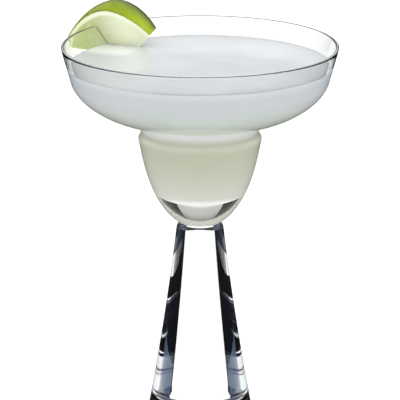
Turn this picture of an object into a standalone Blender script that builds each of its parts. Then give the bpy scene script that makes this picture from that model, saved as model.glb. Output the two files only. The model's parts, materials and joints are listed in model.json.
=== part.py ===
"""A grappa margarita: a two-step stemmed glass, the cloudy drink in it and a lime wedge slit over its rim.

Units are metres, +Z is up, and the origin is the middle of the foot's underside.
+X is to the viewer's right and -Y towards the viewer.
"""
import math

import bmesh
import bpy
from mathutils import Matrix, Vector

MM = 0.001
TURN_STEPS = 48                 # faces round every turned piece
CLEARANCE = 0.3 * MM            # air between the glass, the drink and the wedge
WELD = 0.001 * MM               # points closer than this are the same point

# Glass, outside
HEIGHT = 172 * MM
RIM_RADIUS = 57.5 * MM
WALL_FLARE = 0.277              # outward lean of the upper wall, radius per height
SHOULDER_Z = 157 * MM           # above this the upper wall is straight
FLOOR_Z = 140 * MM              # the wide bowl's floor, where it leaves the waist
FLOOR_RADIUS = 21.3 * MM
SHOULDER_POWER = 1.9
FLOOR_START = 0.02              # share of the shoulder's height that the waist fillet covers
WAIST_Z = 135.6 * MM
WAIST_RADIUS = 24.5 * MM
WELL_TOP_Z = 133 * MM           # the narrow lower bowl, called the well
WELL_RADIUS = 25.65 * MM
WELL_TAPER = 0.2
WELL_BOTTOM_Z = 95.2 * MM
WELL_ROUND = 33.2 * MM
WELL_POWER = 2.6

# Stem and foot, one solid flaring cone
CREASE_RADIUS = 8.8 * MM        # groove between the well and the stem
CREASE_Z = 96.5 * MM
STEM_TOP_RADIUS = 9.75 * MM
STEM_TOP_Z = 95 * MM
STEM_SLOPE = 0.117
STEM_CURVE = 0.44               # extra slope per metre of depth
STEM_END_Z = 15 * MM
FOOT_RADIUS = 39 * MM
FOOT_EDGE = 2.4 * MM
FOOT_CROWN = 4.4 * MM           # height of the foot where the fillet ends
FOOT_FILLET = 11 * MM

# Glass, inside
RIM_WALL = 1.4 * MM
SHOULDER_WALL = 1.9 * MM
WAIST_WALL = 2.1 * MM
WELL_WALL = 2.0 * MM
WELL_FLOOR_Z = 108.5 * MM       # thirteen millimetres of clear glass under the drink
WELL_FLOOR_ROUND = 20 * MM

DRINK_LEVEL = 163.9 * MM

# Lime wedge, a seventh of a lime with its core edge down and its inner end trimmed
LIME_RADIUS = 22.4 * MM
LIME_HALF_LENGTH = 23.5 * MM
LIME_ENDS = (1.79, 0.8)         # powers that point the two ends
WEDGE_HALF_ANGLE = math.radians(24.5)
WEDGE_PLACE = (-35.7 * MM, 38.5 * MM, 160 * MM)
WEDGE_YAW = math.radians(21.5)  # the long axis turns this far from +X towards the viewer
WEDGE_DROOP = math.radians(2)   # the end outside the glass hangs lower
WEDGE_STATIONS = 22
WEDGE_SKIN_STEPS = 8
TRIM_AT = 8.6 * MM              # where the trimming cut meets the core edge, inwards of its middle
TRIM_RISE = 0.92                # how far inwards the cut runs for each step out to the skin
TRIM_TURN = -0.2                # and for each step across the wedge


def material(name, colour, roughness, transmission=0.0, ior=1.45):
    """A Principled material with one colour and roughness."""
    made = bpy.data.materials.new(name)
    made.use_nodes = True
    shader = made.node_tree.nodes["Principled BSDF"]
    shader.inputs["Base Color"].default_value = (*colour, 1)
    shader.inputs["Roughness"].default_value = roughness
    shader.inputs["Transmission Weight"].default_value = transmission
    shader.inputs["IOR"].default_value = ior
    return made


def add_object(name, bm, finish):
    """Put a finished bmesh into the scene under its name."""
    bmesh.ops.recalc_face_normals(bm, faces=bm.faces)
    mesh = bpy.data.meshes.new(name)
    bm.to_mesh(mesh)
    bm.free()
    mesh.shade_smooth()
    mesh.set_sharp_from_angle(angle=math.radians(35))
    if finish:
        mesh.materials.append(finish)
    made = bpy.data.objects.new(name, mesh)
    bpy.context.collection.objects.link(made)
    return made


def turned(name, profile, finish=None):
    """Spin a profile of (radius, height) points once round the Z axis."""
    bm = bmesh.new()
    points = [bm.verts.new((radius, 0, height)) for radius, height in profile]
    lines = [bm.edges.new(pair) for pair in zip(points, points[1:])]
    if profile[0][0] > WELD:
        lines.append(bm.edges.new((points[-1], points[0])))
    bmesh.ops.spin(bm, geom=points + lines, cent=(0, 0, 0), axis=(0, 0, 1), angle=2 * math.pi,
                   steps=TURN_STEPS, use_merge=True, use_duplicate=False)
    bmesh.ops.remove_doubles(bm, verts=bm.verts, dist=WELD)
    return add_object(name, bm, finish)


def spread(first, last, count):
    """Evenly spaced values with both ends."""
    return [first + (last - first) * i / (count - 1) for i in range(count)]


def arc(centre, radii, start, end, count):
    """Points of an elliptical arc in the profile plane, its angles in degrees."""
    angles = [math.radians(a) for a in spread(start, end, count)]
    return [(centre[0] + radii[0] * math.cos(a), centre[1] + radii[1] * math.sin(a)) for a in angles]


def bowl_radius(z):
    """Outer radius of the wide bowl: a rounded shoulder that runs on into a straight flaring wall."""
    reach = RIM_RADIUS - WALL_FLARE * (HEIGHT - FLOOR_Z) - FLOOR_RADIUS
    depth = max(0.0, (SHOULDER_Z - z) / (SHOULDER_Z - FLOOR_Z))
    rounding = (1 - depth ** SHOULDER_POWER) ** (1 / SHOULDER_POWER)
    return FLOOR_RADIUS + reach * rounding + WALL_FLARE * (z - FLOOR_Z)


def bowl_wall(z):
    """Thickness of the wide bowl's wall, which thins towards the rim."""
    share = (z - FLOOR_Z) / (HEIGHT - FLOOR_Z)
    return SHOULDER_WALL + (RIM_WALL - SHOULDER_WALL) * share


def bowl_heights(top, count):
    """Heights up the wide bowl, close together near its flat floor."""
    low = FLOOR_Z + FLOOR_START * (SHOULDER_Z - FLOOR_Z)
    curved = [low + (SHOULDER_Z - low) * (i / count) ** 2 for i in range(count)]
    return curved + spread(SHOULDER_Z, top, 4)


def well_radius(z):
    """Outer radius of the lower bowl: a slightly tapered wall that rounds in to its bottom."""
    depth = max(0.0, (WELL_BOTTOM_Z + WELL_ROUND - z) / WELL_ROUND)
    wall = WELL_RADIUS + WELL_TAPER * (z - WELL_TOP_Z)
    return wall * (1 - depth ** WELL_POWER) ** (1 / WELL_POWER)


def stem_radius(z):
    """Outer radius of the stem, flaring a little more the further down it goes."""
    depth = STEM_TOP_Z - z
    return STEM_TOP_RADIUS + STEM_SLOPE * depth + STEM_CURVE * depth ** 2


def foot_profile():
    """Flat underside, rounded edge, a low crown and the fillet up into the stem."""
    end = stem_radius(STEM_END_Z)
    half = FOOT_EDGE / 2
    edge = arc((FOOT_RADIUS - half, half), (half, half), -90, 60, 5)
    fillet = arc((end + FOOT_FILLET, STEM_END_Z), (FOOT_FILLET, STEM_END_Z - FOOT_CROWN), -90, -180, 6)
    return [(0, 0)] + edge + fillet[:-1]


def outside_profile():
    """The whole outside, from the middle of the foot to the rim."""
    stem = [(stem_radius(z), z) for z in spread(STEM_END_Z, STEM_TOP_Z, 9)]
    collar = [((STEM_TOP_RADIUS + CREASE_RADIUS) / 2, (STEM_TOP_Z * 0.4 + CREASE_Z * 0.6)),
              (CREASE_RADIUS, CREASE_Z)]
    low = CREASE_Z + 0.7 * MM
    well = [(well_radius(low + (WELL_TOP_Z - low) * (i / 11) ** 1.5), low + (WELL_TOP_Z - low) * (i / 11) ** 1.5)
            for i in range(12)]
    waist = [(WAIST_RADIUS + 0.3 * MM, WAIST_Z - 1.2 * MM), (WAIST_RADIUS, WAIST_Z),
             (WAIST_RADIUS + 0.3 * MM, WAIST_Z + 1.8 * MM), (WAIST_RADIUS + 1.2 * MM, WAIST_Z + 3.4 * MM)]
    bowl = [(bowl_radius(z), z) for z in bowl_heights(HEIGHT - RIM_WALL / 2, 10)]
    bowl = [point for point in bowl if point[0] > waist[-1][0] + 0.5 * MM]
    return foot_profile() + stem + collar + well + waist + bowl


def inside_profile(gap):
    """The hollow, from just under the rim down to the middle of its floor, drawn in by a gap."""
    heights = [z for z in reversed(bowl_heights(HEIGHT - RIM_WALL / 2, 9)) if z > FLOOR_Z + 0.8 * MM]
    bowl = [(bowl_radius(z) - bowl_wall(z) - gap, z + 1.5 * MM * (SHOULDER_Z > z) + gap) for z in heights[1:]]
    throat = [(WAIST_RADIUS + 0.4 * MM - gap, FLOOR_Z + 1.4 * MM + gap),
              (WAIST_RADIUS - WAIST_WALL + 0.4 * MM - gap, FLOOR_Z - 0.8 * MM),
              (WAIST_RADIUS - WAIST_WALL - gap, WAIST_Z)]
    turn = WELL_FLOOR_Z + WELL_FLOOR_ROUND
    well = [(well_radius(z) - WELL_WALL - gap, z) for z in spread(WELL_TOP_Z - 2 * MM, turn, 5)]
    corner = well_radius(turn) - WELL_WALL - gap
    floor = arc((0, turn), (corner, WELL_FLOOR_ROUND - gap), 0, -90, 7)[1:]
    return bowl + throat + well + floor[:-1] + [(0, floor[-1][1])]


def make_glass():
    """The bowl, stem and foot, one piece of clear glass."""
    top = HEIGHT - RIM_WALL / 2
    centre = bowl_radius(top) - RIM_WALL / 2
    rim = arc((centre, top), (RIM_WALL / 2, RIM_WALL / 2), 35, 180, 4)
    return turned("glass", outside_profile() + rim + inside_profile(0),
                  material("clear_glass", (0.96, 0.98, 0.97), 0.02, transmission=1.0, ior=1.5))


def make_drink():
    """The cloudy drink, solid up to its level, a gap inside the glass."""
    below = [point for point in inside_profile(CLEARANCE) if point[1] < DRINK_LEVEL - 1 * MM]
    edge = bowl_radius(DRINK_LEVEL) - bowl_wall(DRINK_LEVEL) - CLEARANCE
    return turned("drink", [(0, DRINK_LEVEL), (edge, DRINK_LEVEL)] + below,
                  material("cloudy_drink", (0.74, 0.77, 0.7), 0.1))


def wedge_mesh(grow):
    """A sector of a pointed lime between two cut faces, swollen all round by grow.

    Each station along the core is a fan: one point on the core edge and a row of points on the skin,
    at a radius of (1 - distance ** power) ** power, and both ends close to a point. The inner end is
    then cut off along a slanting plane.
    """
    core_drop = grow / math.sin(WEDGE_HALF_ANGLE)
    half_length = LIME_HALF_LENGTH + core_drop
    bm = bmesh.new()
    fans = []
    for i in range(1, WEDGE_STATIONS):
        along = -math.cos(math.pi * i / WEDGE_STATIONS)
        radius = LIME_RADIUS * (1 - abs(along) ** LIME_ENDS[0]) ** LIME_ENDS[1] + grow + core_drop
        fan = [bm.verts.new((along * half_length, 0, -core_drop))]
        for j in range(WEDGE_SKIN_STEPS + 1):
            turn = WEDGE_HALF_ANGLE * (2 * j / WEDGE_SKIN_STEPS - 1)
            fan.append(bm.verts.new((along * half_length, radius * math.sin(turn),
                                     radius * math.cos(turn) - core_drop)))
        fans.append(fan)
    for near, far in zip(fans, fans[1:]):
        for k in range(len(near)):
            n = (k + 1) % len(near)
            bm.faces.new((near[k], far[k], far[n], near[n]))
    for fan, side in ((fans[0], -1), (fans[-1], 1)):
        tip = bm.verts.new((side * half_length, 0, -core_drop))
        for k in range(len(fan)):
            bm.faces.new((fan[k], fan[(k + 1) % len(fan)], tip))
    inwards = Vector((1, -TRIM_TURN, -TRIM_RISE)).normalized()
    bmesh.ops.bisect_plane(bm, geom=bm.verts[:] + bm.edges[:] + bm.faces[:], dist=WELD, clear_outer=True,
                           plane_co=Vector((TRIM_AT, 0, 0)) + grow * inwards, plane_no=inwards)
    bmesh.ops.holes_fill(bm, edges=[edge for edge in bm.edges if edge.is_boundary])
    place = (Matrix.Translation(Vector(WEDGE_PLACE)) @ Matrix.Rotation(-WEDGE_YAW, 4, "Z")
             @ Matrix.Rotation(-WEDGE_DROOP, 4, "Y"))
    bm.transform(place)
    return bm


def cut(target, cutter):
    """Take one solid out of another and drop the cutter."""
    step = target.modifiers.new("cut", "BOOLEAN")
    step.operation = "DIFFERENCE"
    step.solver = "EXACT"
    step.object = cutter
    bpy.context.view_layer.update()
    result = bpy.data.meshes.new_from_object(target.evaluated_get(bpy.context.evaluated_depsgraph_get()))
    target.modifiers.clear()
    target.data = result
    bpy.data.objects.remove(cutter)


def rim_sleeve():
    """The glass wall near the rim with a gap all round it, which the wedge's slit must clear."""
    heights = spread(HEIGHT, SHOULDER_Z - 6 * MM, 6)
    outer = [(bowl_radius(z) + CLEARANCE, z) for z in heights]
    inner = [(bowl_radius(z) - bowl_wall(z) - CLEARANCE, z) for z in reversed(heights)]
    lid = HEIGHT + CLEARANCE
    return turned("rim_sleeve", [(outer[0][0], lid)] + outer[1:] + inner[:-1] + [(inner[-1][0], lid)])


def make_wedge():
    """The lime wedge with the slit that holds it on the rim."""
    wedge = add_object("lime_wedge", wedge_mesh(0), material("lime", (0.55, 0.68, 0.12), 0.45))
    cut(wedge, rim_sleeve())
    return wedge


for old in list(bpy.data.objects):
    bpy.data.objects.remove(old)
glass = make_glass()
drink = make_drink()
cut(drink, add_object("wedge_room", wedge_mesh(CLEARANCE), None))
wedge = make_wedge()
for part in (glass, drink, wedge):
    faces = sum(len(polygon.vertices) - 2 for polygon in part.data.polygons)
    print(part.name, "triangles", faces)
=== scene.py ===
# %% [markdown]
# # A grappa margarita in its glass
# This lesson dresses a packed model of a cocktail: a clear glass of two steps on a solid flaring stem,
# the cloudy drink in it and a lime wedge over its rim. The packed model gives the sizes and the places,
# and every surface here is worked out from them with numpy, at a finer step than a solid model needs.

# %% The packed model
import json
import math

import bmesh
import bpy
import numpy as np
from mathutils import Matrix, Vector

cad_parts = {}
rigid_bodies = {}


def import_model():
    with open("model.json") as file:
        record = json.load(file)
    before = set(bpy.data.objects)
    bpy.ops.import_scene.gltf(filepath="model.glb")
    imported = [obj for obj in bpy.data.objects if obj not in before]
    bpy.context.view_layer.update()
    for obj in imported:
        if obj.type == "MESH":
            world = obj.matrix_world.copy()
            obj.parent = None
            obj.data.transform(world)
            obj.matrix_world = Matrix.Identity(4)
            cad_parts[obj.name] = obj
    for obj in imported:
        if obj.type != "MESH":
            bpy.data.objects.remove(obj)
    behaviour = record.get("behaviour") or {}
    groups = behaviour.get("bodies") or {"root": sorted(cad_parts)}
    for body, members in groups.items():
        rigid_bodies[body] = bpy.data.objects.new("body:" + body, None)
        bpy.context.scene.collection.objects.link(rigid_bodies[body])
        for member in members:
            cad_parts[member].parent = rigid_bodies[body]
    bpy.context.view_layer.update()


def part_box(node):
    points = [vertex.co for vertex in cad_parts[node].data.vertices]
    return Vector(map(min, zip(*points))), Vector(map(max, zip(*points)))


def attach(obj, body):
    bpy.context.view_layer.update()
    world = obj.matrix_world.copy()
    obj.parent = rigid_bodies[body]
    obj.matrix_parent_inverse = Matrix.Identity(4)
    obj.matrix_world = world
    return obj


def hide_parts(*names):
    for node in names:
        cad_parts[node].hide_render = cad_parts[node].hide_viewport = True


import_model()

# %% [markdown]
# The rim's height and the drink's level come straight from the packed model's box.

MM = 0.001
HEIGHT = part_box("glass")[1].z
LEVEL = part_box("drink")[1].z

# %% [markdown]
# ## Surfaces
# Almost everything on this table was once turned: glass is pressed or blown round an axis. A turned
# shape is a profile, a list of radii and heights, carried round a circle, so that one outer product of
# the profile with the cosines and sines of the angles gives every point at once. A Screw modifier would
# do the same, but here the rings' points are known by number, so caps and faces are easy to add.

# %% Turning a profile
TURN_STEPS = 160
print("turned pieces have", TURN_STEPS, "points round them")


def put_mesh(name, points, faces, materials=()):
    """Make an object at the origin from an array of points and a list of faces."""
    mesh = bpy.data.meshes.new(name)
    mesh.from_pydata(points.tolist(), [], faces)
    mesh.shade_smooth()
    for material in materials:
        mesh.materials.append(material)
    piece = bpy.data.objects.new(name, mesh)
    bpy.context.collection.objects.link(piece)
    return piece


def ring_faces(rows, columns, wrap_columns=True):
    """Quads between neighbouring rows of a grid of points, row by row, closed round the columns."""
    across = columns if wrap_columns else columns - 1
    i, j = np.meshgrid(np.arange(rows - 1), np.arange(across), indexing="ij")
    k = (j + 1) % columns
    quads = np.stack([i * columns + j, i * columns + k, (i + 1) * columns + k, (i + 1) * columns + j], -1)
    return quads.reshape(-1, 4).tolist()


def fan_faces(columns, first, tip, flip=False):
    """Triangles between the ring of points that begins at first and one point beyond it, its tip."""
    turn = first + np.arange(columns)
    after = np.roll(turn, -1)
    pair = [after, turn] if flip else [turn, after]
    return np.stack([*pair, np.full(columns, tip)], -1).tolist()


def circles(radii, heights):
    """A ring of points (radius cos a, radius sin a, height) for each radius and height."""
    angles = np.linspace(0, 2 * math.pi, TURN_STEPS, endpoint=False)
    flat = [np.outer(radii, np.cos(angles)), np.outer(radii, np.sin(angles))]
    return np.stack([*flat, np.repeat(heights[:, None], TURN_STEPS, axis=1)], -1)


def turned(name, profile, materials=()):
    """Carry (radius, height) points round Z: each gives a ring (radius cos a, radius sin a, height).

    The first and last points lie on the axis, so each of them is one point that closes the shape.
    """
    radii, heights = profile[1:-1].T
    rings = circles(radii, heights)
    poles = np.array([[0, 0, profile[0, 1]], [0, 0, profile[-1, 1]]])
    points = np.concatenate([rings.reshape(-1, 3), poles])
    start, end = len(points) - 2, len(points) - 1
    last = (len(radii) - 1) * TURN_STEPS
    faces = ring_faces(len(radii), TURN_STEPS)
    faces += fan_faces(TURN_STEPS, 0, start, flip=True) + fan_faces(TURN_STEPS, last, end)
    return put_mesh(name, points, faces, materials)


# %% [markdown]
# Real glass has no hard corners: in the fire every edge melts into a small curve. The outline is first
# drawn with plain lines and curves, then walked in tenths of a millimetre and averaged over its
# neighbours, which rounds all corners alike. At last points are kept where the outline bends, and only
# a few where it runs straight.

# %% Melting a profile's corners
WALK = 0.1 * MM                 # step of the walk along the outline
MELT = 0.25 * MM                # width of the bell curve that rounds a corner
MELT_REACH = 4                  # how many such widths the averaging reaches
LONGEST_STEP = 1.6 * MM
BEND_STEP = math.radians(4)
print("profiles keep a point at least every", LONGEST_STEP / MM, "mm")


def spread(first, last, count):
    """Evenly spaced values with both ends."""
    return np.linspace(first, last, count)


def arc(centre, radii, start, end, count):
    """Points (centre + radii * (cos a, sin a)) of an elliptical arc, its angles in degrees."""
    a = np.radians(spread(start, end, count))
    return np.stack([centre[0] + radii[0] * np.cos(a), centre[1] + radii[1] * np.sin(a)], -1)


def melted(line):
    """Walk a polyline in even steps, average it with a bell curve, and keep points where it bends."""
    lengths = np.append(0, np.cumsum(np.linalg.norm(np.diff(line, axis=0), axis=1)))
    walk = np.linspace(0, lengths[-1], int(lengths[-1] / WALK) + 1)
    fine = np.stack([np.interp(walk, lengths, line[:, k]) for k in (0, 1)], -1)
    reach = int(MELT_REACH * MELT / WALK)
    bell = np.exp(-0.5 * (np.arange(-reach, reach + 1) * WALK / MELT) ** 2)
    bell /= bell.sum()
    before = 2 * fine[0] - fine[reach:0:-1]
    after = 2 * fine[-1] - fine[-2:-reach - 2:-1]
    padded = np.concatenate([before, fine, after])
    soft = np.stack([np.convolve(padded[:, k], bell, "valid") for k in (0, 1)], -1)
    heading = np.unwrap(np.arctan2(*np.diff(soft, axis=0).T[::-1]))
    bend = np.append(0, np.cumsum(np.abs(np.diff(heading))))
    bend = np.append(bend, bend[-1])
    measure = walk / LONGEST_STEP + bend / BEND_STEP
    keep = np.interp(np.linspace(0, measure[-1], int(measure[-1]) + 1), measure, walk)
    kept = np.stack([np.interp(keep, walk, soft[:, k]) for k in (0, 1)], -1)
    kept[[0, -1], 0] = 0
    return kept


# %% [markdown]
# ## The glass's outline
# The wide upper bowl is a rounded shoulder that runs on into a straight wall, and the lower bowl, the
# well, tapers and then rounds in to its bottom. Each is a superellipse: one power makes the curve
# squarer or rounder. The stem flares a little more the further down it goes. The foot was never seen,
# so it is plain: a fillet that runs out to a thin round edge. The outline could be drawn by hand as a
# curve, but as formulas each part of it is set by one or two values.

# %% Outlines of the glass
RIM_RADIUS = 57.5 * MM
WALL_FLARE = 0.277
SHOULDER_Z = 157 * MM
FLOOR_Z = 140 * MM
FLOOR_RADIUS = 21.3 * MM
SHOULDER_POWER = 1.9
WAIST_Z = 135.6 * MM
WAIST_RADIUS = 24.5 * MM
WELL_TOP_Z = 133 * MM
WELL_RADIUS = 25.65 * MM
WELL_TAPER = 0.2
WELL_BOTTOM_Z = 95.2 * MM
WELL_ROUND = 33.2 * MM
WELL_POWER = 2.6
CREASE_RADIUS = 8.8 * MM
CREASE_Z = 96.5 * MM
STEM_TOP_RADIUS = 9.75 * MM
STEM_TOP_Z = 95 * MM
STEM_SLOPE = 0.117
STEM_CURVE = 0.44
STEM_END_Z = 15 * MM
FOOT_RADIUS = 39 * MM
FOOT_EDGE = 2.4 * MM
FOOT_CROWN = 4.4 * MM
FOOT_FILLET = 11 * MM
WAIST_STEPS = np.array([[0.3, -1.2], [0, 0], [0.3, 1.8], [1.2, 3.4]]) * MM      # out and up from it
CREASE_TO_WELL = 0.7 * MM
RIM_TURN = 0.7 * MM             # where the straight wall gives way to the rounded rim
FLOOR_START = 0.02              # share of the shoulder's height where the bowl's line begins


def rounded(depth, power):
    """The quarter of a superellipse: (1 - depth ** p) ** (1 / p)."""
    return (1 - depth ** power) ** (1 / power)


def bowl_radius(z):
    """Radius of the wide bowl: floor radius + reach * (1 - depth ** p) ** (1 / p) + flare * height."""
    reach = RIM_RADIUS - WALL_FLARE * (HEIGHT - FLOOR_Z) - FLOOR_RADIUS
    depth = np.clip((SHOULDER_Z - z) / (SHOULDER_Z - FLOOR_Z), 0, 1)
    return FLOOR_RADIUS + reach * rounded(depth, SHOULDER_POWER) + WALL_FLARE * (z - FLOOR_Z)


def well_radius(z):
    """Radius of the well: its tapered wall times (1 - depth ** p) ** (1 / p)."""
    depth = np.clip((WELL_BOTTOM_Z + WELL_ROUND - z) / WELL_ROUND, 0, 1)
    return (WELL_RADIUS + WELL_TAPER * (z - WELL_TOP_Z)) * rounded(depth, WELL_POWER)


def stem_radius(z):
    """Radius of the stem: top radius + slope * depth + curve * depth squared."""
    depth = STEM_TOP_Z - z
    return STEM_TOP_RADIUS + STEM_SLOPE * depth + STEM_CURVE * depth ** 2


def beside(radius, heights):
    """Pair each height with its radius."""
    return np.stack([radius(heights), heights], -1)


print("bowl", round(float(bowl_radius(SHOULDER_Z)) / MM, 1), "mm in radius at its shoulder")

# %% [markdown]
# The stretches are joined from the middle of the foot up to the rim. Where a stretch curves fast, as the
# well and the bowl do low down, its heights crowd together, because they are squares of even steps.

# %% The outside line
half_edge = FOOT_EDGE / 2
foot_edge = arc((FOOT_RADIUS - half_edge, half_edge), (half_edge, half_edge), -90, 60, 16)
stem_end = stem_radius(STEM_END_Z)
fillet_middle = (stem_end + FOOT_FILLET, STEM_END_Z)
foot_fillet = arc(fillet_middle, (FOOT_FILLET, STEM_END_Z - FOOT_CROWN), -90, -180, 24)
stem_side = beside(stem_radius, spread(STEM_END_Z, STEM_TOP_Z, 60))
crease = np.array([[(STEM_TOP_RADIUS + CREASE_RADIUS) / 2, STEM_TOP_Z * 0.4 + CREASE_Z * 0.6],
                   [CREASE_RADIUS, CREASE_Z]])
well_foot = CREASE_Z + CREASE_TO_WELL
well_side = beside(well_radius, well_foot + (WELL_TOP_Z - well_foot) * spread(0, 1, 90) ** 2)
waist = WAIST_STEPS + (WAIST_RADIUS, WAIST_Z)
floor_top = FLOOR_Z + FLOOR_START * (SHOULDER_Z - FLOOR_Z)
bowl_z = np.concatenate([floor_top + (SHOULDER_Z - floor_top) * spread(0, 1, 90)[:-1] ** 2,
                         spread(SHOULDER_Z, HEIGHT - RIM_TURN, 20)])
bowl_side = beside(bowl_radius, bowl_z)
bowl_side = bowl_side[bowl_side[:, 0] > waist[-1, 0] + 0.5 * MM]
foot = np.concatenate([[[0, 0]], foot_edge, foot_fillet[:-1]])
outside = np.concatenate([foot, stem_side, crease, well_side, waist, bowl_side])
print("outline of", len(outside), "points, rim radius", round(outside[-1, 0] / MM, 1), "mm")

# %% [markdown]
# The inside is the same outline drawn in by the thickness of the wall, thin at the rim and thicker
# below, down to a rounded floor with thirteen millimetres of clear glass under it. The drink uses the same
# line with a gap of less than nothing, so that it reaches a little into the glass and no air shows.

# %% The inside of the glass
RIM_WALL = 1.4 * MM
SHOULDER_WALL = 1.9 * MM
WAIST_WALL = 2.1 * MM
WELL_WALL = 2.0 * MM
WELL_FLOOR_Z = 108.5 * MM
WELL_FLOOR_ROUND = 20 * MM
FLOOR_RISE = 1.5 * MM           # how far the bowl's floor is thicker than its wall
FLOOR_RISE_OVER = 4 * MM        # height over which that fades out
LIP_OUT = 0.4 * MM
LIP_UP = 1.4 * MM
LIP_DOWN = 0.8 * MM


def bowl_wall(z):
    """Thickness of the wide bowl's wall."""
    return SHOULDER_WALL + (RIM_WALL - SHOULDER_WALL) * (z - FLOOR_Z) / (HEIGHT - FLOOR_Z)


def inside_line(gap):
    """The hollow from the rim down to the middle of its floor, drawn in by a gap."""
    z = bowl_z[::-1]
    z = z[z > FLOOR_Z + LIP_DOWN]
    rise = FLOOR_RISE * np.clip((SHOULDER_Z - z) / FLOOR_RISE_OVER, 0, 1) + gap
    bowl = np.stack([bowl_radius(z) - bowl_wall(z) - gap, z + rise], -1)
    throat = np.array([[WAIST_RADIUS + LIP_OUT - gap, FLOOR_Z + LIP_UP + gap],
                       [WAIST_RADIUS - WAIST_WALL + LIP_OUT - gap, FLOOR_Z - LIP_DOWN],
                       [WAIST_RADIUS - WAIST_WALL - gap, WAIST_Z]])
    turn = WELL_FLOOR_Z + WELL_FLOOR_ROUND
    well = beside(well_radius, spread(WELL_TOP_Z - 2 * MM, turn, 20)) - (WELL_WALL + gap, 0)
    bottom = arc((0, turn), (well[-1, 0], WELL_FLOOR_ROUND - gap), 0, -90, 40)[1:]
    return np.concatenate([bowl, throat, well, bottom])


rim_top = HEIGHT - RIM_WALL / 2
rim = arc((float(bowl_radius(rim_top)) - RIM_WALL / 2, rim_top), (RIM_WALL / 2, RIM_WALL / 2), 20, 165, 14)
glass_line = melted(np.concatenate([outside, rim, inside_line(0)]))
print("glass profile of", len(glass_line), "points")

# %% [markdown]
# ## Materials as arithmetic
# A material is a small network of nodes. Writing it as sums and products is shorter and easier to
# follow than placing nodes one by one, so one small class wraps a socket and turns each operator into a
# Math node.

# %% Shader arithmetic
class Value:
    """A socket in a material. Arithmetic on it adds Math nodes."""

    def __init__(self, finish, socket):
        self.finish = finish
        self.socket = socket

    def maths(self, operation, *others):
        """A Math node on this value and others, in that order."""
        return self.finish.node("Math", "Value", {"operation": operation}, dict(enumerate((self, *others))))

    def __add__(self, other):
        return self.maths("ADD", other)

    def __sub__(self, other):
        return self.maths("SUBTRACT", other)

    def __mul__(self, other):
        return self.maths("MULTIPLY", other)

    def __rsub__(self, other):
        return self.finish.node("Math", "Value", {"operation": "SUBTRACT"}, {0: other, 1: self})

    def step(self, low, high):
        """0 below low, 1 above high, and a smooth rise between."""
        return self.finish.node("MapRange", "Result", {"interpolation_type": "SMOOTHSTEP"},
                                {"Value": self, "From Min": low, "From Max": high})

    __radd__ = __add__
    __rmul__ = __mul__


reflected = [name for name in vars(Value) if name.startswith("__r")]
print("reflected operators:", reflected)

# %% [markdown]
# Every other kind of node comes from a single method, which sets it up, feeds its sockets and hands back
# one of its outputs. The world is a node tree too, so the same class makes it.

# %% A finish and its nodes
class Finish:
    """A material, or a world, whose nodes are made by one method."""

    def __init__(self, name, kind="materials"):
        self.owner = getattr(bpy.data, kind).new(name)
        self.owner.use_nodes = True
        self.tree = self.owner.node_tree
        self.tree.nodes.clear()

    def node(self, kind, output, settings=None, inputs=None):
        """Add a shader node of a kind, set it up, feed its sockets and hand back one of its outputs."""
        made = self.tree.nodes.new("ShaderNode" + kind)
        for name, setting in (settings or {}).items():
            setattr(made, name, setting)
        for name, value in (inputs or {}).items():
            if isinstance(value, Value):
                self.tree.links.new(value.socket, made.inputs[name])
            else:
                made.inputs[name].default_value = value
        return Value(self, made.outputs[output])

    def mix(self, factor, first, second):
        """A colour between two others."""
        made = self.tree.nodes.new("ShaderNodeMix")
        made.data_type = "RGBA"
        for socket, value in ((made.inputs[0], factor), (made.inputs[6], first), (made.inputs[7], second)):
            if isinstance(value, Value):
                self.tree.links.new(value.socket, socket)
            else:
                socket.default_value = value
        return Value(self, made.outputs[2])

    def attribute(self, name):
        """A number kept at the mesh's points under a name."""
        return self.node("Attribute", "Fac", {"attribute_name": name})

    def noise(self, scale, detail=2.0):
        """Cloudy noise on the object's own coordinates, about 0.5 on average."""
        place = self.node("TexCoord", "Object")
        return self.node("TexNoise", "Fac", {}, {"Vector": place, "Scale": scale, "Detail": detail})

    def bump(self, height, distance):
        """A normal that makes a height look raised by a distance in metres."""
        return self.node("Bump", "Normal", {}, {"Height": height, "Distance": distance, "Strength": 1.0})

    def end(self, shader, output="OutputMaterial"):
        """Feed a shader to the output and return the material or the world."""
        out = self.tree.nodes.new("ShaderNode" + output)
        self.tree.links.new(shader.socket, out.inputs["Surface"])
        return self.owner


print("a finish makes", [name for name in vars(Finish) if not name.startswith("_")])

# %% [markdown]
# Colours are chosen on a screen, from 0 to 255, while a shader reckons in linear light, so one
# function turns the first into the second.

# %% Colours as a screen shows them
def rgb(red, green, blue):
    """A colour given as a screen shows it, from 0 to 255, in the linear values that a shader takes."""
    share = np.array([red, green, blue]) / 255
    linear = np.where(share <= 0.04045, share / 12.92, ((share + 0.055) / 1.055) ** 2.4)
    return (*linear.tolist(), 1.0)


print("middle grey is", round(rgb(128, 128, 128)[0], 3), "in linear light")

# %% [markdown]
# ## Clear glass
# Good soda glass is almost without colour: what the eye reads as glass is the room, bent and mirrored.
# So the finish is nearly bare, a polished glass with the faintest waviness that pressing leaves on a
# thick stem, which breaks up the bright and dark edges that it bends into view.

# %% The glass finish and the glass
PRESSED_WAVES = 0.05 * MM
GLASS_TONES = (rgb(251, 254, 253), rgb(254, 255, 255))


def clear_glass():
    """Polished colourless glass with a slight pressed waviness."""
    f = Finish("clear_glass")
    waves = f.noise(55.0, 1.0)
    shader = f.node("BsdfPrincipled", "BSDF", {}, {
        "Base Color": f.mix(waves.step(0.2, 0.8), *GLASS_TONES),
        "Roughness": 0.0,
        "IOR": 1.5,
        "Transmission Weight": 1.0,
        "Normal": f.bump(waves, PRESSED_WAVES)})
    return f.end(shader)


glass = turned("margarita_glass", glass_line, [clear_glass()])
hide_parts("glass")
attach(glass, "root")
print("glass faces", len(glass.data.polygons))

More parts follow.
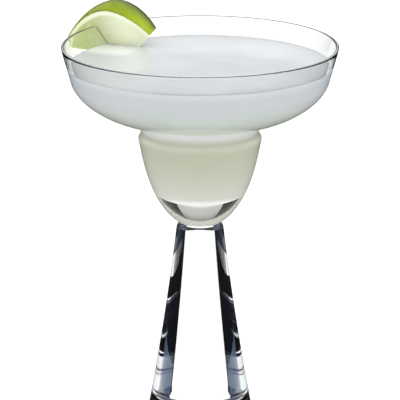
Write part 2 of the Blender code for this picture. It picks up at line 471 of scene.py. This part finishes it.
# %% [markdown]
# ## The drink
# Lime juice and grappa make a cloudy drink, so light comes back from inside it and it shows no clear
# depth. Its still surface is glossy. Against the wall the glass is wet and has no gloss of its own,
# because the glass and the drink bend light nearly alike. That is why the piece has two finishes. At
# the wall the surface climbs a little, as any wet edge does. The drink could be cut out of the hollow
# with a Boolean, but turning the hollow's own line again is exact and gives clean rings.

# %% The drink's outline
CLIMB = 0.15 * MM
CLIMB_WIDTH = 1.3 * MM
INTO_GLASS = 0.15 * MM

drink_wall = inside_line(-INTO_GLASS)
drink_wall = drink_wall[drink_wall[:, 1] < LEVEL + CLIMB]
edge_radius = drink_wall[0, 0]
top_radii = edge_radius * spread(0, 1, 90) ** 0.5
top_line = np.stack([top_radii, LEVEL + CLIMB * np.exp((top_radii - edge_radius) / CLIMB_WIDTH)], -1)
drink_line = np.concatenate([top_line, drink_wall[1:]])
print("drink profile of", len(drink_line), "points")

# %% [markdown]
# The drink's colour changes with height: painted light, white, just under the surface, a painted
# reflection of a bluish light, lavender, below it, a trace of green lower in the bowl, olive in the upper
# part of the well, paler further down and a painted white highlight on its floor. At the waist the thick
# glass throws light on the drink's lip, which is painted white as a highlight.

# %% The drink's colours
WHITEST = rgb(255, 255, 255)
# painted light: the drink whiter just under its lit surface
LIT_UNDER_SURFACE = rgb(236, 239, 244)
# painted reflection: the lavender that a bluish light gives the upper drink
LAVENDER_REFLECTION = rgb(224, 227, 232)
LOW_BOWL = rgb(226, 232, 226)
OLIVE = rgb(216, 219, 199)
PALE_WELL = rgb(229, 230, 220)
# painted highlight: the bright arc on the drink's floor in the well
HIGHLIGHT_ON_FLOOR = rgb(254, 254, 250)
SURFACE_TONES = (rgb(176, 178, 182), rgb(184, 186, 190))
GLOW_TONE = rgb(218, 221, 219)
CLOUD_STRENGTH = 0.12


def drink_colour(f):
    """Painted light under the surface and a painted lavender reflection below it, green and olive lower
    down, a painted highlight on the well's floor, all by height, with faint clouds.
    """
    place = f.node("TexCoord", "Object")
    height = f.node("SeparateXYZ", "Z", {}, {"Vector": place})
    clouds = f.noise(45.0, 3.0)
    # painted lavender reflection in the upper drink, over its own green lower down
    shade = f.mix(height.step(LEVEL - 14 * MM, LEVEL - 5 * MM), LOW_BOWL, LAVENDER_REFLECTION)
    # painted light just under the surface
    shade = f.mix(height.step(LEVEL - 4 * MM, LEVEL + 1 * MM), shade, LIT_UNDER_SURFACE)
    shade = f.mix(height.step(FLOOR_Z - 6 * MM, FLOOR_Z + 14 * MM), OLIVE, shade)
    shade = f.mix(height.step(WELL_FLOOR_Z - 4 * MM, FLOOR_Z - 8 * MM), PALE_WELL, shade)
    # painted highlight on the well's floor
    shade = f.mix(height.step(WELL_FLOOR_Z + 1 * MM, WELL_FLOOR_Z + 2.4 * MM), HIGHLIGHT_ON_FLOOR, shade)
    # painted highlight: the drink's lip at the waist is painted white where the thick glass throws light on
    # it
    above_lip = height.step(FLOOR_Z + 2 * MM, FLOOR_Z + 7 * MM)
    lip = height.step(WAIST_Z - 1 * MM, WAIST_Z + 3 * MM) * (1 - above_lip)
    shade = f.mix(lip, shade, WHITEST)
    return f.mix((clouds - 0.5) * CLOUD_STRENGTH, shade, WHITEST)


def surface_colour(f):
    """The top of the drink, whiter where the wedge's core shines through it."""
    glow = f.attribute("glow")
    clouds = f.noise(45.0, 3.0)
    shade = f.mix(clouds.step(0.3, 0.7), *SURFACE_TONES)
    return f.mix(glow, shade, GLOW_TONE)


print("lavender is", [round(part, 2) for part in LAVENDER_REFLECTION[:3]], "in linear light")

# %% [markdown]
# Which finish a face takes follows from the way it looks: faces that look up near the level are the
# still surface, and all the others lie against the glass.

# %% The drink
DRINK_IOR = 1.34
SURFACE_WAVES = 0.06 * MM
LEAST_SURFACE_UP = 0.3          # a face that looks up less than this lies against the wall
LEAST_SURFACE_Z = LEVEL - 0.5 * MM


def drink_surface_finish():
    """The still top of the drink, glossy over its cloudy body."""
    f = Finish("drink_surface")
    return f.end(f.node("BsdfPrincipled", "BSDF", {}, {
        "Base Color": surface_colour(f),
        "Roughness": 0.14,
        "IOR": DRINK_IOR,
        "Normal": f.bump(f.noise(60.0, 1.0), SURFACE_WAVES)}))


def drink_body_finish():
    """The drink against the wet glass: no gloss."""
    f = Finish("drink_body")
    return f.end(f.node("BsdfPrincipled", "BSDF", {}, {
        "Base Color": drink_colour(f),
        "Roughness": 0.9,
        "Specular IOR Level": 0.0,
        "IOR": DRINK_IOR}))


drink = turned("margarita_drink", drink_line[::-1], [drink_surface_finish(), drink_body_finish()])
face_heights = np.array([polygon.center.z for polygon in drink.data.polygons])
face_ups = np.array([polygon.normal.z for polygon in drink.data.polygons])
is_body = (face_ups < LEAST_SURFACE_UP) | (face_heights < LEAST_SURFACE_Z)
drink.data.polygons.foreach_set("material_index", is_body.astype(np.int32))
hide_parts("drink")
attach(drink, "root")
print("drink surface at", round(LEVEL / MM, 1), "mm,", len(drink.data.polygons), "faces")

# %% [markdown]
# ## The lime wedge
# A lime is a pointed ball. The wedge is a sector of it, between two cuts through the core, so a fan of
# points at each station along the core describes it: out along one cut face, over the skin and back
# along the other. The flesh is made of juice sacs, long drops that point at the core. Scattered seeds
# with every point given to the nearest one, measured shorter across the sacs than along them, make that
# pattern, and the difference between the nearest and the next nearest seed gives their thin walls. A
# ball cut by two planes would have the same shape, but no points on its cut faces for that pattern.

# %% The wedge's own axes
LIME_RADIUS = 22.4 * MM
LIME_HALF_LENGTH = 23.5 * MM
LIME_ENDS = (1.79, 0.8)
WEDGE_HALF_ANGLE = math.radians(24.5)
WEDGE_PLACE = np.array([-35.7, 38.5, 160]) * MM
WEDGE_YAW = math.radians(21.5)
WEDGE_DROOP = math.radians(2)
RIND = 1.0 * MM
PITH = 2.2 * MM

flat = np.array([math.cos(WEDGE_YAW), -math.sin(WEDGE_YAW), 0])
side_way = np.array([math.sin(WEDGE_YAW), math.cos(WEDGE_YAW), 0])
core_way = math.cos(WEDGE_DROOP) * flat + math.sin(WEDGE_DROOP) * np.array([0, 0, 1])
out_way = math.cos(WEDGE_DROOP) * np.array([0, 0, 1]) - math.sin(WEDGE_DROOP) * flat
wedge_axes = np.stack([core_way, side_way, out_way])
print("wedge turned", round(math.degrees(WEDGE_YAW), 1), "degrees towards the viewer")


def lime_radius(along):
    """Radius of the lime at a share of its half length: radius * (1 - share ** p) ** q."""
    return LIME_RADIUS * np.clip(1 - np.abs(along) ** LIME_ENDS[0], 0, 1) ** LIME_ENDS[1]


def to_wedge(points):
    """Places in the wedge's own axes: along the core, across it and out to the skin."""
    return (points - WEDGE_PLACE) @ wedge_axes.T


# %% [markdown]
# A seed is put down for each sac in a grid and then shaken. Distances are measured in sac widths along the
# core and in sac lengths away from it, which draws the cells out into drops.

# %% Juice sacs
SAC_WIDTH = 1.5 * MM
SAC_LENGTH = 6.5 * MM
SAC_RELIEF = 0.16 * MM
SAC_WALL = 0.45                 # how far a sac's wall reaches, in sac widths
SHAKE_SEEDS = (3, 4)            # one for the near cut face and one for the far one
print("sacs", SAC_WIDTH / MM, "by", SAC_LENGTH / MM, "mm")


def sac_pattern(along, outward, seed):
    """How deep each point lies in its sac, 0 at the wall, and a tone from 0 to 1 for each sac."""
    draw = np.random.default_rng(seed)
    columns = np.arange(-LIME_HALF_LENGTH, LIME_HALF_LENGTH, SAC_WIDTH)
    rows = np.arange(0, LIME_RADIUS, SAC_LENGTH)
    seeds = np.stack(np.meshgrid(columns, rows, indexing="ij"), -1).reshape(-1, 2)
    seeds = seeds + draw.uniform(-0.5, 0.5, seeds.shape) * (SAC_WIDTH, SAC_LENGTH)
    tones = draw.uniform(0, 1, len(seeds))
    across = (along[:, None] - seeds[:, 0]) / SAC_WIDTH
    down = (outward[:, None] - seeds[:, 1]) / SAC_LENGTH
    distance = np.sqrt(across ** 2 + down ** 2)
    order = np.argpartition(distance, 1, axis=1)[:, :2]
    nearest = np.take_along_axis(distance, order, axis=1)
    gap = np.abs(nearest[:, 1] - nearest[:, 0])
    first = np.where(nearest[:, 0] < nearest[:, 1], order[:, 0], order[:, 1])
    return np.clip(gap / SAC_WALL, 0, 1), tones[first]


# %% [markdown]
# The stations crowd towards the two pointed ends. On the flesh, the sacs stand up a little from their
# walls, straight out of the cut face that they lie in.

# %% The wedge's surface
STATIONS = 120
FACE_STEPS = 46
SKIN_STEPS = 36
FLESH_START = 0.8 * MM          # over which the relief comes up behind the pith
CORE_START = 1.5 * MM           # over which it comes up beside the core
SAC_MIDDLE = 0.8                # height in a sac, from 0 to 1, that stays where the cut face is


def wedge_points():
    """Fans of points along the core: out one cut face, over the skin, and back down the other face."""
    along = -np.cos(math.pi * spread(0, 1, STATIONS + 1)[1:-1])
    radius = lime_radius(along)
    share = spread(0, 1, FACE_STEPS + 1)
    turns = spread(-1, 1, SKIN_STEPS + 1)[1:-1] * WEDGE_HALF_ANGLE
    fan_radius = np.concatenate([share, np.ones(len(turns)), share[:0:-1]])
    near_turn, far_turn = np.full(len(share), -WEDGE_HALF_ANGLE), np.full(FACE_STEPS, WEDGE_HALF_ANGLE)
    fan_turn = np.concatenate([near_turn, turns, far_turn])
    out = radius[:, None] * fan_radius
    x = np.repeat(along[:, None] * LIME_HALF_LENGTH, len(fan_turn), axis=1)
    y = out * np.sin(fan_turn)
    z = out * np.cos(fan_turn)
    side = np.sign(fan_turn) * (fan_radius < 1)
    depth = radius[:, None] - out
    near_sac, far_sac = (sac_pattern(x.ravel(), out.ravel(), seed)[0] for seed in SHAKE_SEEDS)
    sac = np.where(side < 0, near_sac.reshape(x.shape), far_sac.reshape(x.shape))
    flesh = np.clip((depth - RIND - PITH) / FLESH_START, 0, 1) * np.clip(out / CORE_START, 0, 1)
    push = flesh * (SAC_RELIEF * (sac ** 0.5 - SAC_MIDDLE))
    y = y + side * push * math.cos(WEDGE_HALF_ANGLE)
    z = z - np.abs(side) * push * math.sin(WEDGE_HALF_ANGLE)
    return np.stack([x, y, z], -1)


fans = wedge_points()
stations, fan = fans.shape[:2]
tips = np.array([[-LIME_HALF_LENGTH, 0, 0], [LIME_HALF_LENGTH, 0, 0]])
local = np.concatenate([fans.reshape(-1, 3), tips])
faces = ring_faces(stations, fan)
faces += fan_faces(fan, 0, stations * fan, flip=True)
faces += fan_faces(fan, (stations - 1) * fan, stations * fan + 1)
wedge = put_mesh("lime_wedge_body", local @ wedge_axes + WEDGE_PLACE, faces)


def point_outwards(piece):
    """Turn all faces of a closed mesh outwards."""
    bm = bmesh.new()
    bm.from_mesh(piece.data)
    bmesh.ops.recalc_face_normals(bm, faces=bm.faces)
    bm.to_mesh(piece.data)
    bm.free()


point_outwards(wedge)
print("wedge of", len(wedge.data.polygons), "faces")

# %% [markdown]
# The wedge's inner end is trimmed off on a slant, and the wedge is slit and pushed over the rim. Both are
# cut as a cook cuts them: a block is taken off the end, and a sleeve that follows the glass wall is taken
# out of the flesh. The sleeve is thinner than the wall, because wet flesh closes on the glass and leaves
# no dark gap. The block's face is finely divided, so the new cut face has points to carry colours.

# %% The trimmed end and the slit over the rim
TRIM_AT = 8.6 * MM
TRIM_RISE = 0.92
TRIM_TURN = -0.2
CUTTER_RADIUS = 34 * MM
CUTTER_DEPTH = 24 * MM
CUTTER_RINGS = 45
SLIT_GRIP = 0.6 * MM            # how far the flesh reaches into each side of the wall
SHARP_EDGE = math.radians(50)

sleeve_z = spread(HEIGHT, SHOULDER_Z - 6 * MM, 12)
sleeve_out = beside(bowl_radius, sleeve_z) - (SLIT_GRIP, 0)
sleeve_in = beside(lambda z: bowl_radius(z) - bowl_wall(z) + SLIT_GRIP, sleeve_z)[::-1]
lid = HEIGHT - SLIT_GRIP
sleeve_loop = np.concatenate([sleeve_out, sleeve_in])
sleeve_loop[[0, -1], 1] = lid


def turned_loop(name, loop):
    """Carry a closed loop of (radius, height) points round Z into a ring-shaped solid."""
    count = len(loop) * TURN_STEPS
    faces = [[k % count for k in quad] for quad in ring_faces(len(loop) + 1, TURN_STEPS)]
    return put_mesh(name, circles(*loop.T).reshape(-1, 3), faces)


def cut(piece, cutter):
    """Take the cutter's solid out of a piece and remove the cutter."""
    step = piece.modifiers.new("cut", "BOOLEAN")
    step.operation = "DIFFERENCE"
    step.solver = "EXACT"
    step.object = cutter
    bpy.context.view_layer.update()
    shaped = piece.evaluated_get(bpy.context.evaluated_depsgraph_get())
    piece.data = bpy.data.meshes.new_from_object(shaped)
    piece.modifiers.clear()
    bpy.data.objects.remove(cutter)


cutter_face = np.stack([spread(0, CUTTER_RADIUS, CUTTER_RINGS), np.zeros(CUTTER_RINGS)], -1)
cutter_back = [[CUTTER_RADIUS, CUTTER_DEPTH], [0, CUTTER_DEPTH]]
cutter = turned("end_cutter", np.concatenate([cutter_face, cutter_back]))
trim_way = Vector(np.array([1, -TRIM_TURN, -TRIM_RISE]) @ wedge_axes).normalized()
cutter.data.transform(trim_way.to_track_quat("Z", "Y").to_matrix().to_4x4())
trim_point = Vector(np.array([TRIM_AT, 0, 0]) @ wedge_axes + WEDGE_PLACE)
cutter.data.transform(Matrix.Translation(trim_point))
point_outwards(cutter)
cut(wedge, cutter)
sleeve = turned_loop("rim_sleeve", sleeve_loop)
point_outwards(sleeve)
cut(wedge, sleeve)
wedge.data.shade_smooth()
wedge.data.set_sharp_from_angle(angle=SHARP_EDGE)
print("slit wedge of", len(wedge.data.polygons), "faces")

# %% [markdown]
# The colour follows how deep a point lies under the skin: green rind, then white pith, then flesh. That
# depth, the sac walls and each sac's own tone are numbers at the mesh's points, worked out from where
# the points are, so the new faces inside the slit get them as well.

# %% Depth, walls and tones at the points
def store(piece, name, values):
    """Keep one number for each point of the mesh under a name that a material can read."""
    layer = piece.data.attributes.new(name, "FLOAT", "POINT")
    layer.data.foreach_set("value", np.ascontiguousarray(values, dtype=np.float32))


count = len(wedge.data.vertices)
flat_points = np.empty(count * 3)
wedge.data.vertices.foreach_get("co", flat_points)
inside = to_wedge(flat_points.reshape(-1, 3))
outward = np.hypot(inside[:, 1], inside[:, 2])
depth = lime_radius(inside[:, 0] / LIME_HALF_LENGTH) - outward
walls, tones = sac_pattern(inside[:, 0], outward, SHAKE_SEEDS[0])
far_walls, far_tones = sac_pattern(inside[:, 0], outward, SHAKE_SEEDS[1])
near = inside[:, 1] < 0
store(wedge, "depth", depth / MM)
store(wedge, "sac", np.where(near, walls, far_walls))
store(wedge, "tone", np.where(near, tones, far_tones))
store(wedge, "outward", outward / MM)
store(wedge, "across", inside[:, 1] / MM)
store(wedge, "along", inside[:, 0] / MM)
print("depth from", round(depth.min() / MM, 2), "to", round(depth.max() / MM, 2), "mm")

# %% [markdown]
# Where the wedge dips in, its white core shines through the cloudy drink in front of it. The drink's
# points get the strength of that glow: a soft patch before the cut face.

# %% The glow before the wedge
GLOW_MIDDLE = (2 * MM, -11 * MM)
GLOW_SIZE = (13 * MM, 9 * MM)

drink_points = np.empty(len(drink.data.vertices) * 3)
drink.data.vertices.foreach_get("co", drink_points)
from_glow = (to_wedge(drink_points.reshape(-1, 3))[:, :2] - GLOW_MIDDLE) / GLOW_SIZE
store(drink, "glow", np.exp(-(from_glow ** 4).sum(axis=1)))
print("glow at", round(GLOW_MIDDLE[0] / MM), round(GLOW_MIDDLE[1] / MM), "mm in the wedge's axes")

# %% [markdown]
# The rind is painted brightest at its inner end, as light, and dull olive behind and where it hangs outside
# the glass, as shade. The pith has soft, ragged edges and painted shade outside the glass. The flesh is
# painted olive beyond the wall, as shade, and pale over the drink, as the light that comes back from below.
# Its core edge, white in a lime, is painted white only there, as that light. The depths and distances that
# the points carry are in millimetres.

# %% The lime finish
RIND_ENDS = (0.4, 1.3)          # depths over which the rind gives way to pith
PITH_ENDS = (2.3, 3.9)          # and the pith to flesh
RAGGED = 0.7
CORE_EDGE = (0.6, 2.6)
# painted shade on the flesh outside the glass, painted light on the flesh over the drink
FLESH_SHADED_OUTSIDE, FLESH_LIT_OVER_DRINK = rgb(168, 180, 108), rgb(230, 234, 206)
SAC_TONE, SAC_WALL_TONE = rgb(200, 210, 152), rgb(238, 241, 222)
CORE_TONE = rgb(240, 243, 226)
PITH_TONES = (rgb(232, 237, 212), rgb(244, 246, 230))
# painted shade on the pith outside the glass
PITH_SHADED_OUTSIDE = rgb(216, 223, 182)
RIND_TONES = (rgb(112, 132, 4), rgb(130, 148, 14))
# painted light on the rind's inner end, painted shade outside the glass and on its far side
RIND_LIT_INNER_END, RIND_SHADED_OUTSIDE, RIND_SHADED_BEHIND = rgb(150, 170, 26), rgb(122, 134, 40), rgb(66, 80, 10)
WET_RELIEF = 0.12 * MM


def lime_finish():
    """Rind, pith and flesh by depth, with painted light and shade along the core and across it, pores on
    the rind and wet sacs in the flesh.
    """
    f = Finish("lime")
    depth, sac, tone = (f.attribute(name) for name in ("depth", "sac", "tone"))
    out, across, along = (f.attribute(name) for name in ("outward", "across", "along"))
    ragged = depth + (f.noise(900.0, 3.0) - 0.5) * RAGGED
    # painted shade outside the glass and painted light over the drink, along the core
    flesh = f.mix(along.step(-14.0, 8.0), FLESH_SHADED_OUTSIDE, FLESH_LIT_OVER_DRINK)
    flesh = f.mix(tone * 0.1, flesh, SAC_TONE)
    flesh = f.mix(sac.step(0.0, 0.35), f.mix(0.2, flesh, SAC_WALL_TONE), flesh)
    # the core's own white edge, painted in only over the drink, where it stands for light from below
    core = (1 - out.step(*CORE_EDGE)) * along.step(-12.0, -4.0)
    flesh = f.mix(core, flesh, CORE_TONE)
    pith = f.mix(f.noise(700.0), *PITH_TONES)
    # painted shade on the pith outside the glass
    pith = f.mix(along.step(-18.0, 2.0), PITH_SHADED_OUTSIDE, pith)
    rind = f.mix(f.noise(160.0, 3.0).step(0.3, 0.7), *RIND_TONES)
    # painted light at the rind's inner end, painted shade outside the glass and on the far side
    rind = f.mix(along.step(6.0, 16.0), rind, RIND_LIT_INNER_END)
    rind = f.mix(along.step(-16.0, 6.0), RIND_SHADED_OUTSIDE, rind)
    rind = f.mix(across.step(-6.0, 6.0), rind, RIND_SHADED_BEHIND)
    skin = f.mix(ragged.step(*RIND_ENDS), rind, pith)
    colour = f.mix(ragged.step(*PITH_ENDS), skin, flesh)
    pores = f.node("TexVoronoi", "Distance", {}, {"Vector": f.node("TexCoord", "Object"), "Scale": 1300.0})
    on_rind = 1 - depth.step(0.3, 0.9)
    relief = pores.step(0.0, 0.45) * on_rind + f.noise(1500.0, 2.0) * 0.35
    shader = f.node("BsdfPrincipled", "BSDF", {}, {
        "Base Color": colour,
        "Roughness": 0.3 + 0.25 * depth.step(0.6, 1.2) - 0.2 * depth.step(2.7, 3.4),
        "Subsurface Weight": 0.25,
        "Subsurface Radius": (0.8, 1.0, 0.4),
        "Subsurface Scale": 2.0 * MM,
        "IOR": 1.38,
        "Specular IOR Level": 0.25,
        "Normal": f.bump(relief, WET_RELIEF)})
    return f.end(shader)


wedge.data.materials.append(lime_finish())
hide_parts("lime_wedge")
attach(wedge, "root")
print("lime finish has", len(wedge.data.materials[0].node_tree.nodes), "nodes")

# %% [markdown]
# ## Camera
# The photograph looks down on the rim by thirteen degrees from far away, through a long lens. The image
# is 166 mm wide at the glass, which fixes the lens once the distance is chosen.

# %% The camera
CAMERA_BACK = 1.6
CAMERA_UP = 0.5414
AIM_UP = 0.106
LENS_MM = 359
SENSOR_MM = 36

camera = bpy.data.objects.new("camera", bpy.data.cameras.new("camera"))
bpy.context.collection.objects.link(camera)
camera.location = (0, -CAMERA_BACK, CAMERA_UP)
aim = Vector((0, 0, AIM_UP))
camera.rotation_euler = (aim - camera.location).to_track_quat("-Z", "Y").to_euler()
camera.data.lens = LENS_MM
camera.data.sensor_width = SENSOR_MM
bpy.context.scene.camera = camera
bpy.context.view_layer.update()
aim_distance = (aim - camera.location).length
image_width = aim_distance * SENSOR_MM / LENS_MM
print("camera", round(aim_distance, 3), "m from its aim, image", round(image_width / MM), "mm wide there")

# %% [markdown]
# ## Studio
# Clear glass on white is lit by what stands behind it. A white panel fills the background, and beyond
# its edges the room is dark: the flat walls of the bowl show the panel, and the round stem bends the
# view so far at its sides that it meets the dark room there. That gives glass its black lines. The
# panel hangs on the camera, as the picture is always taken against it. Rays that have left the drink
# or the lime see an even white tent instead, so these are lit softly from all sides.

# %% Studio helpers
TENT = 1.6                      # makes up for the light that the glass wall keeps from the drink
WHITE = (1, 1, 1, 1)
AFTER_MATT = (0.4, 0.6)         # the count of matt bounces goes from 0 to 1 between these
print("tent strength", TENT)


def studio_light(name, colour):
    """An emitter seen in its own colour by rays through glass and as the tent by soft light.

    The colour is a plain one, or a function that works it out in the finish.
    """
    f = Finish(name)
    soft = f.node("LightPath", "Diffuse Depth").step(*AFTER_MATT)
    own = f.node("Emission", "Emission", {}, {"Color": colour(f) if callable(colour) else colour})
    room = f.node("Emission", "Emission", {}, {"Color": WHITE, "Strength": TENT})
    return f.end(f.node("MixShader", "Shader", {}, {0: soft, 1: own, 2: room}))


def only_through_glass(sheet):
    """Show a sheet of the studio only to rays that glass has bent, never to the camera or to gloss."""
    sheet.visible_camera = False
    sheet.visible_diffuse = False
    sheet.visible_shadow = False
    sheet.visible_glossy = False


# %% [markdown]
# Behind the glass the panel is pure white. Far up it curves over and gets less light, and the clear base
# under the drink bends the view up to that grey part.

# %% The panel behind the glass
PANEL_BEHIND = 3.0
PANEL_HALF_ANGLE = math.radians(27)
PANEL_LOW = -1.2
PANEL_HIGH = 5.4
PANEL_ROWS = 12
PANEL_WHITE = (1.16, 1.16, 1.16, 1)
PANEL_GREY = (0.57, 0.58, 0.53, 1)
PANEL_DARK = (0.26, 0.27, 0.24, 1)
WHITE_ENDS = (1.5, 2.2)         # heights on the panel, from its middle
GREY_ENDS = (2.1, 4.6)


def panel_colour(f):
    """White up to the height where the backdrop curves over, then greyer the higher it is."""
    height = f.node("SeparateXYZ", "Y", {}, {"Vector": f.node("TexCoord", "Object")})
    lower = f.mix(height.step(*WHITE_ENDS), PANEL_WHITE, PANEL_GREY)
    return f.mix(height.step(*GREY_ENDS), lower, PANEL_DARK)


panel_far = -(aim_distance + PANEL_BEHIND)
panel_half = PANEL_BEHIND * math.tan(PANEL_HALF_ANGLE)
panel_rows = spread(PANEL_LOW, PANEL_HIGH, PANEL_ROWS)
panel_y, panel_x = np.meshgrid(panel_rows, [-panel_half, panel_half], indexing="ij")
panel_grid = np.stack([panel_x, panel_y, np.full_like(panel_x, panel_far)], -1).reshape(-1, 3)
panel_light = studio_light("panel_light", panel_colour)
panel = put_mesh("panel", panel_grid, ring_faces(PANEL_ROWS, 2, False), [panel_light])
panel.parent = camera
only_through_glass(panel)
print("panel", round(2 * panel_half, 2), "m wide,", PANEL_HIGH - PANEL_LOW, "m high")

# %% [markdown]
# The lower stem bends the view so far that its sides look down past the panel, and its outer edges mirror
# the view back past the camera, or, at the top of the stem, straight down. A bluish patch on each side
# below the panel, a white one on each side of the camera and a dim one underneath are what they meet.
# Area lights would only shine on things, while these are sheets that give light, so the glass shows
# them and their edges. Each is given by the directions that it covers, seen from the glass.

# %% Patches of light by direction
PATCH_FAR = 5.0
PATCH_STEPS = 9


def patch(name, turns, rises, colour):
    """A pair of curved sheets that cover a range of directions, left and right, seen from the aim.

    Turns are measured from straight ahead and rises from level, in degrees. Each rise may be a pair:
    its values at the first and at the last turn. A direction is (sin t cos r, cos t cos r, sin r).
    """
    share = spread(0, 1, PATCH_STEPS)
    low, high = (np.interp(share, [0, 1], np.broadcast_to(rise, 2)) for rise in rises)
    t = np.radians(np.repeat((turns[0] + (turns[1] - turns[0]) * share)[:, None], PATCH_STEPS, axis=1))
    r = np.radians(low[:, None] + (high - low)[:, None] * share)
    for side in (-1, 1):
        way = np.stack([side * np.sin(t) * np.cos(r), np.cos(t) * np.cos(r), np.sin(r)], -1).reshape(-1, 3)
        points = np.array(aim) + PATCH_FAR * way - np.array(camera.location)
        points = points @ np.array(camera.matrix_world.to_3x3())
        light = studio_light(name + "_light", colour)
        sheet = put_mesh(name, points, ring_faces(PATCH_STEPS, PATCH_STEPS, False), [light])
        sheet.parent = camera
        only_through_glass(sheet)


patch("blue_patch", (32.5, 75), ((-41, -44), (-32.0, -35.5)), rgb(88, 100, 130))
patch("side_patch", (125, 173), (-40, 31), (1.12, 1.15, 1.18, 1))
patch("under_patch", (0, 180), (-88, -51), (0.2, 0.23, 0.3, 1))
print("patches", [item.name for item in camera.children])

# %% [markdown]
# The floor carries the soft light up to the drink. Glass and gloss do not see it: for them the table is
# part of the dark room.

# %% The floor
FLOOR_SIZE = 12.0
FLOOR_TONES = ((0.74, 0.74, 0.74, 1), (0.78, 0.78, 0.78, 1))


def floor_finish():
    """Matt white, a little uneven, so that it stays a surface."""
    f = Finish("white_floor")
    return f.end(f.node("BsdfPrincipled", "BSDF", {}, {
        "Base Color": f.mix(f.noise(3.0, 2.0), *FLOOR_TONES),
        "Roughness": 0.9,
        "Specular IOR Level": 0.0}))


floor_corners = np.array([(-1, -1, 0), (1, -1, 0), (1, 1, 0), (-1, 1, 0)]) * FLOOR_SIZE / 2
floor = put_mesh("floor", floor_corners, [[0, 1, 2, 3]], [floor_finish()])
floor.visible_glossy = False
floor.visible_transmission = False
print("floor", FLOOR_SIZE, "m wide")

# %% [markdown]
# The world is four things in one. The camera sees white. Light that has left a matt surface sees the
# tent, a little brighter above. Mirrored light sees a room that is dark near the table and light above,
# which gives the drink its sheen. Light that glass has bent sees the dark room.

# %% The tent and the world
WHITE_BACKGROUND = 1.08
DARK_ROOM = (0.006, 0.007, 0.010, 1)
GLOSS_SKY = 0.9
GLOSS_LOW = 0.03
SKY_STARTS = (0.1, 0.3)         # how steeply a direction rises where the light sky starts and is full
TENT_RISE = 0.2                 # share by which the tent is brighter straight above


def tent_world():
    """White for the camera, a tent for matt things, a light sky for gloss, a dark room for glass."""
    f = Finish("studio", "worlds")

    def background(colour, strength):
        return f.node("Background", "Background", {}, {"Color": colour, "Strength": strength})

    def choose(flag, first, second):
        factor = f.node("LightPath", flag)
        return f.node("MixShader", "Shader", {}, {0: factor, 1: first, 2: second})

    up = f.node("SeparateXYZ", "Z", {}, {"Vector": f.node("TexCoord", "Generated")})
    sky = up.step(*SKY_STARTS) * (GLOSS_SKY - GLOSS_LOW) + GLOSS_LOW
    sharp = choose("Is Reflection Ray", background(DARK_ROOM, 1.0), background(WHITE, sky))
    unseen = choose("Diffuse Depth", sharp, background(WHITE, up * (TENT_RISE * TENT) + TENT))
    seen = choose("Is Camera Ray", unseen, background(WHITE, WHITE_BACKGROUND))
    return f.end(seen, "OutputWorld")


bpy.context.scene.world = tent_world()
bpy.context.scene.view_settings.view_transform = "Standard"
print("world", bpy.context.scene.world.name)

# %% [markdown]
# At the end the scene is brought up to date.

# %% The end
bpy.context.view_layer.update()
